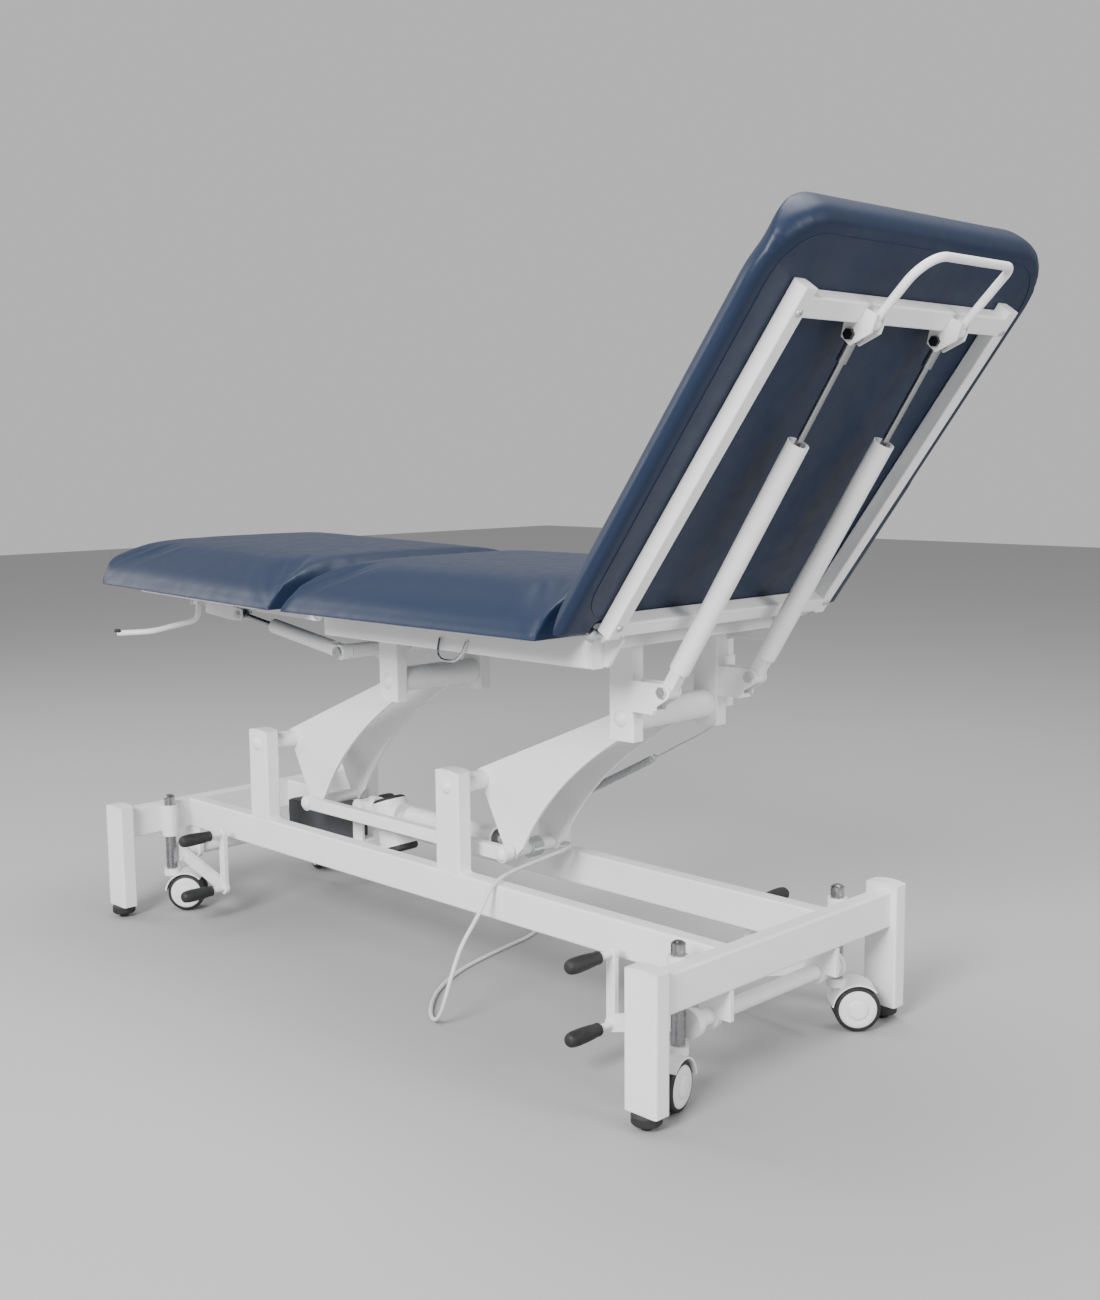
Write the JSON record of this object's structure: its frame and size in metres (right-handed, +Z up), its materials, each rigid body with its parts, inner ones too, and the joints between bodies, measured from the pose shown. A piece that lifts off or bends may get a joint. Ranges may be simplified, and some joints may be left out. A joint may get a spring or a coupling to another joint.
{
  "type": "examination couch",
  "caption": "Electric hi-lo examination couch: padded leg, seat and back sections on a bellcrank lift, strutted backrest, pedal operated castors and a handset.",
  "frame": {"origin": "on the floor under the middle of the couch's outline", "axes": "+X along the couch towards the backrest, +Y towards the far side, +Z up"},
  "size_m": [1.768, 0.686, 1.2514],
  "materials": {
    "frame_coat": "satin powder coat",
    "white_plastic": "moulded",
    "black_rubber": "matte",
    "grey_plastic": "fine texture",
    "cord_sheath": "soft sheath",
    "steel": "zinc plated",
    "chromed": "polished",
    "vinyl": "smooth upholstery vinyl"
  },
  "bodies": {
    "base": {"base_rails": "frame_coat", "base_legs": "frame_coat", "base_posts": "frame_coat", "tube_caps": "white_plastic", "levelling_feet": "black_rubber", "lower_pivot_pins": "frame_coat", "castor_sleeves": "frame_coat", "pedal_bearings": "frame_coat", "actuator_mount": "frame_coat", "control_box": "grey_plastic", "mains_strain_relief": "grey_plastic", "mains_cord": "cord_sheath", "mains_cord_coil": "cord_sheath", "mains_plug": "white_plastic", "handset_cord": "cord_sheath"},
    "bellcrank_foot": {"bellcrank_foot": "frame_coat"},
    "bellcrank_head": {"bellcrank_head": "frame_coat"},
    "connecting_rod": {"connecting_rod": "frame_coat"},
    "actuator_body": {"actuator_motor": "white_plastic", "actuator_tube": "white_plastic", "actuator_caps": "grey_plastic"},
    "actuator_rod": {"actuator_rod": "steel"},
    "upper_frame": {"seat_frame": "frame_coat", "hangers": "frame_coat", "upper_pivot_pins": "frame_coat", "strut_brackets": "frame_coat", "leg_strut_anchor": "frame_coat", "hinge_ears": "frame_coat", "seat_cushion": "vinyl", "paper_hook": "steel", "handset_holder": "white_plastic", "handset": "white_plastic"},
    "handset_rocker": {"handset_rocker": "grey_plastic"},
    "backrest": {"back_frame": "frame_coat", "back_strut_bolts": "steel", "back_hinge_pins": "steel", "back_cushion": "vinyl"},
    "back_release_handle": {"back_release_handle": "frame_coat"},
    "back_strut_tubes": {"back_strut_tubes": "frame_coat"},
    "back_strut_rods": {"back_strut_rods": "steel"},
    "leg_section": {"leg_frame": "frame_coat", "leg_hinge_pins": "steel", "leg_cushion": "vinyl"},
    "leg_release_handle": {"leg_release_handle": "frame_coat"},
    "leg_strut_tubes": {"leg_strut_tubes": "frame_coat"},
    "leg_strut_rods": {"leg_strut_rods": "steel"},
    "castor_stems_head": {"castor_stems_head": "chromed"},
    "castor_stems_foot": {"castor_stems_foot": "chromed"},
    "pedal_shaft_head": {"pedal_shaft_head": "frame_coat", "pedal_grips_head": "black_rubber"},
    "pedal_shaft_foot": {"pedal_shaft_foot": "frame_coat", "pedal_grips_foot": "black_rubber"},
    "castor_fork_head_near": {"castor_fork_head_near": "white_plastic"},
    "castor_wheel_head_near": {"castor_wheel_head_near": "black_rubber"},
    "castor_fork_head_far": {"castor_fork_head_far": "white_plastic"},
    "castor_wheel_head_far": {"castor_wheel_head_far": "black_rubber"},
    "castor_fork_foot_near": {"castor_fork_foot_near": "white_plastic"},
    "castor_wheel_foot_near": {"castor_wheel_foot_near": "black_rubber"},
    "castor_fork_foot_far": {"castor_fork_foot_far": "white_plastic"},
    "castor_wheel_foot_far": {"castor_wheel_foot_far": "black_rubber"}
  },
  "joints": [
    {"name": "lift", "type": "hinge", "parent": "base", "child": "bellcrank_head", "pos_m": [-0.0122, 0, 0.368], "axis": [0, -1, 0], "range_deg": [-18, 28], "deforming": ["handset_cord"]},
    {"name": "lift_foot", "type": "hinge", "parent": "base", "child": "bellcrank_foot", "pos_m": [-0.5742, 0, 0.368], "axis": [0, -1, 0], "range_deg": [-18.1, 28.1]},
    {"name": "frame_level", "type": "hinge", "parent": "bellcrank_head", "child": "upper_frame", "pos_m": [0.3678, 0, 0.528], "axis": [0, -1, 0], "range_deg": [-28.1, 18.1]},
    {"name": "rod_swing", "type": "hinge", "parent": "bellcrank_head", "child": "connecting_rod", "pos_m": [0.0558, 0, 0.25], "axis": [0, -1, 0], "range_deg": [-28.1, 18.1]},
    {"name": "actuator_swing", "type": "hinge", "parent": "base", "child": "actuator_body", "pos_m": [-0.4132, 0, 0.248], "axis": [0, -1, 0], "range_deg": [-2.9, 4.5]},
    {"name": "actuator_rod_swing", "type": "hinge", "parent": "bellcrank_head", "child": "actuator_rod", "pos_m": [0.0558, 0, 0.25], "axis": [0, -1, 0], "range_deg": [-23.8, 15.4]},
    {"name": "backrest_tilt", "type": "hinge", "parent": "upper_frame", "child": "backrest", "pos_m": [0.4428, 0, 0.676], "axis": [0, -1, 0], "range_deg": [-54, 6]},
    {"name": "back_strut_swing", "type": "hinge", "parent": "upper_frame", "child": "back_strut_tubes", "pos_m": [0.4558, 0, 0.578], "axis": [0, -1, 0], "range_deg": [-49.6, 5.6]},
    {"name": "back_strut_rod_swing", "type": "hinge", "parent": "backrest", "child": "back_strut_rods", "pos_m": [0.77202, 0, 1.07963], "axis": [0, -1, 0], "range_deg": [-0.6, 4.7]},
    {"name": "leg_tilt", "type": "hinge", "parent": "upper_frame", "child": "leg_section", "pos_m": [-0.2332, 0, 0.655], "axis": [0, -1, 0], "range_deg": [-14, 8]},
    {"name": "leg_strut_swing", "type": "hinge", "parent": "upper_frame", "child": "leg_strut_tubes", "pos_m": [-0.3242, 0, 0.57], "axis": [0, -1, 0], "range_deg": [-17, 9.7]},
    {"name": "leg_strut_rod_swing", "type": "hinge", "parent": "leg_section", "child": "leg_strut_rods", "pos_m": [-0.6502, 0, 0.617], "axis": [0, -1, 0], "range_deg": [-3, 1.7]},
    {"name": "back_release", "type": "hinge", "parent": "backrest", "child": "back_release_handle", "pos_m": [0.79941, 0, 1.0919], "axis": [0, -1, 0], "range_deg": [0, 10], "stiffness_Nm_per_rad": 3},
    {"name": "leg_release", "type": "hinge", "parent": "leg_section", "child": "leg_release_handle", "pos_m": [-0.7492, -0.15, 0.64], "axis": [-1, 0, 0], "range_deg": [0, 8], "stiffness_Nm_per_rad": 3},
    {"name": "handset_rock", "type": "hinge", "parent": "upper_frame", "child": "handset_rocker", "pos_m": [0.3648, 0.1404, 0.596], "axis": [1, 0, 0], "range_deg": [-3, 3], "stiffness_Nm_per_rad": 0.3},
    {"name": "pedal_head", "type": "hinge", "parent": "base", "child": "pedal_shaft_head", "pos_m": [0.5618, 0, 0.114], "axis": [0, -1, 0], "range_deg": [0, 12]},
    {"name": "pedal_foot", "type": "hinge", "parent": "base", "child": "pedal_shaft_foot", "pos_m": [-0.8182, 0, 0.114], "axis": [0, 1, 0], "range_deg": [0, 12]},
    {"name": "castor_drop_head", "type": "slide", "parent": "base", "child": "castor_stems_head", "axis": [0, 0, -1], "range_m": [0, 0.012]},
    {"name": "castor_drop_foot", "type": "slide", "parent": "base", "child": "castor_stems_foot", "axis": [0, 0, -1], "range_m": [0, 0.012]},
    {"name": "castor_swivel_head_near", "type": "hinge", "parent": "castor_stems_head", "child": "castor_fork_head_near", "pos_m": [0.5548, -0.197, 0.08], "axis": [0, 0, 1], "continuous": true},
    {"name": "castor_spin_head_near", "type": "hinge", "parent": "castor_fork_head_near", "child": "castor_wheel_head_near", "pos_m": [0.56308, -0.22791, 0.0385], "axis": [0.9659, 0.2588, 0], "continuous": true},
    {"name": "castor_swivel_head_far", "type": "hinge", "parent": "castor_stems_head", "child": "castor_fork_head_far", "pos_m": [0.5548, 0.197, 0.08], "axis": [0, 0, 1], "continuous": true},
    {"name": "castor_spin_head_far", "type": "hinge", "parent": "castor_fork_head_far", "child": "castor_wheel_head_far", "pos_m": [0.57743, 0.21963, 0.0385], "axis": [-0.7071, 0.7071, 0], "continuous": true},
    {"name": "castor_swivel_foot_near", "type": "hinge", "parent": "castor_stems_foot", "child": "castor_fork_foot_near", "pos_m": [-0.8112, -0.197, 0.08], "axis": [0, 0, 1], "continuous": true},
    {"name": "castor_spin_foot_near", "type": "hinge", "parent": "castor_fork_foot_near", "child": "castor_wheel_foot_near", "pos_m": [-0.78857, -0.17437, 0.0385], "axis": [-0.7071, 0.7071, 0], "continuous": true},
    {"name": "castor_swivel_foot_far", "type": "hinge", "parent": "castor_stems_foot", "child": "castor_fork_foot_far", "pos_m": [-0.8112, 0.197, 0.08], "axis": [0, 0, 1], "continuous": true},
    {"name": "castor_spin_foot_far", "type": "hinge", "parent": "castor_fork_foot_far", "child": "castor_wheel_foot_far", "pos_m": [-0.84127, 0.20794, 0.0385], "axis": [-0.342, -0.9397, 0], "continuous": true}
  ],
  "couplings": [
    {"joint": "lift_foot", "follows": "lift", "ratio": 1},
    {"joint": "frame_level", "follows": "lift", "ratio": -1},
    {"joint": "rod_swing", "follows": "lift", "ratio": -1},
    {"joint": "actuator_swing", "follows": "lift", "ratio": 0.155},
    {"joint": "actuator_rod_swing", "follows": "lift", "ratio": -0.845},
    {"joint": "back_strut_swing", "follows": "backrest_tilt", "ratio": 0.915},
    {"joint": "back_strut_rod_swing", "follows": "backrest_tilt", "ratio": -0.085},
    {"joint": "leg_strut_swing", "follows": "leg_tilt", "ratio": 1.21},
    {"joint": "leg_strut_rod_swing", "follows": "leg_tilt", "ratio": 0.21},
    {"joint": "castor_drop_head", "follows": "pedal_head", "m_per_rad": 0.057},
    {"joint": "castor_drop_foot", "follows": "pedal_foot", "m_per_rad": 0.057}
  ]
}
